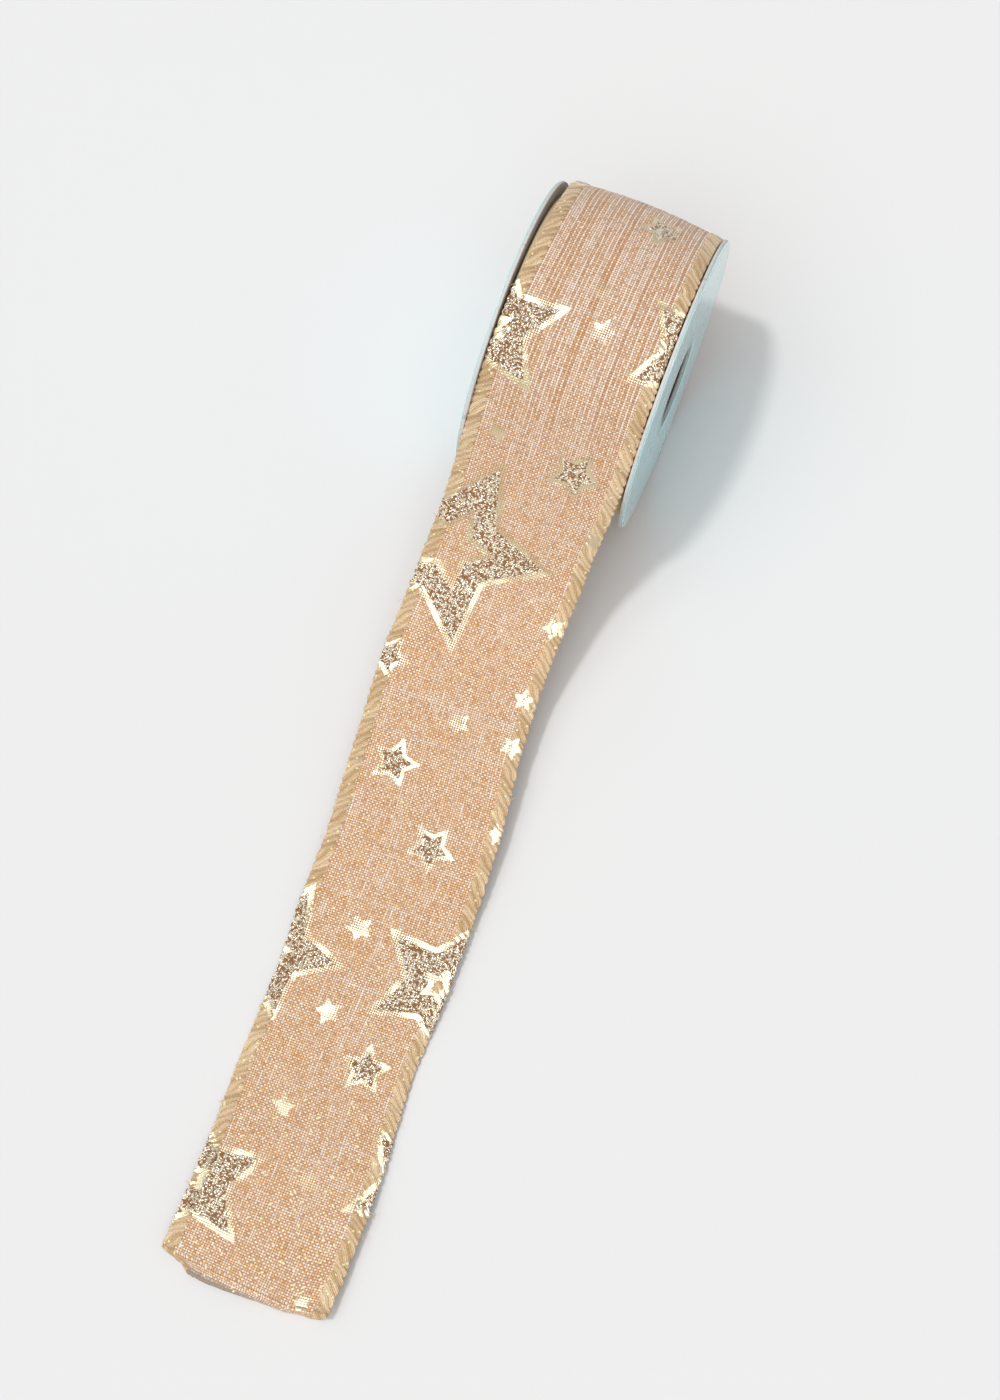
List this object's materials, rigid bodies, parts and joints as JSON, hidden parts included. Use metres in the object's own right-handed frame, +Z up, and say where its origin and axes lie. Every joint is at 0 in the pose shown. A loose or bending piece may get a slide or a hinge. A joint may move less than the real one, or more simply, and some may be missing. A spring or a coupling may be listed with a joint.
{
  "type": "ribbon spool",
  "caption": "Flanged card spool of woven wired-edge gift ribbon with a foil star print, standing on its rims with the ribbon's free end pulled out flat in front.",
  "frame": {"origin": "on the table, under the middle of the whole object, free end included", "axes": "+Z up; X along the spool's axle line; the free end runs towards -Y and the spool stands at +Y"},
  "size_m": [0.047, 0.2648, 0.072],
  "materials": {
    "grey_board": "matte",
    "mint_facing": "gloss",
    "glue": "satin",
    "tape": "gloss",
    "woven_cloth": "matte",
    "stitched_edge": "matte",
    "edge_wire": "satin"
  },
  "bodies": {
    "spool": {"core_tube": "grey_board", "flange_board_left": "grey_board", "flange_board_right": "grey_board", "flange_facing_left": "mint_facing", "flange_facing_right": "mint_facing", "glue_ring_left": "glue", "glue_ring_right": "glue", "start_tape": "tape", "wound_cloth": "woven_cloth", "wound_edge_left": "stitched_edge", "wound_edge_right": "stitched_edge"},
    "ribbon": {"outer_turn_cloth": "woven_cloth", "outer_turn_edge_left": "stitched_edge", "outer_turn_edge_right": "stitched_edge", "outer_turn_wire_left": "edge_wire", "outer_turn_wire_right": "edge_wire"},
    "tail_middle": {"tail_middle_cloth": "woven_cloth", "tail_middle_edge_left": "stitched_edge", "tail_middle_edge_right": "stitched_edge", "tail_middle_wire_left": "edge_wire", "tail_middle_wire_right": "edge_wire"},
    "tail_tip": {"tail_tip_cloth": "woven_cloth", "tail_tip_edge_left": "stitched_edge", "tail_tip_edge_right": "stitched_edge", "tail_tip_wire_left": "edge_wire", "tail_tip_wire_right": "edge_wire"},
    "hem": {"hem_cloth": "woven_cloth", "hem_edge_left": "stitched_edge", "hem_edge_right": "stitched_edge", "hem_wire_left": "edge_wire", "hem_wire_right": "edge_wire"}
  },
  "joints": [
    {"name": "spool_turn", "type": "hinge", "parent": "ribbon", "child": "spool", "pos_m": [-0.00239, 0.09641, 0.036], "axis": [1, 0, 0], "continuous": true},
    {"name": "tail_lift", "type": "hinge", "parent": "ribbon", "child": "tail_middle", "pos_m": [-0.00312, 0.00841, 0.01096], "axis": [-1, 0, 0], "range_deg": [0, 75]},
    {"name": "tip_lift", "type": "hinge", "parent": "tail_middle", "child": "tail_tip", "pos_m": [0.00056, -0.06159, 0.00224], "axis": [-1, 0, 0], "range_deg": [0, 100]},
    {"name": "hem_unfold", "type": "hinge", "parent": "tail_tip", "child": "hem", "pos_m": [0.00261, -0.13009, 0.00483], "axis": [-1, 0, 0], "range_deg": [0, 150]}
  ]
}
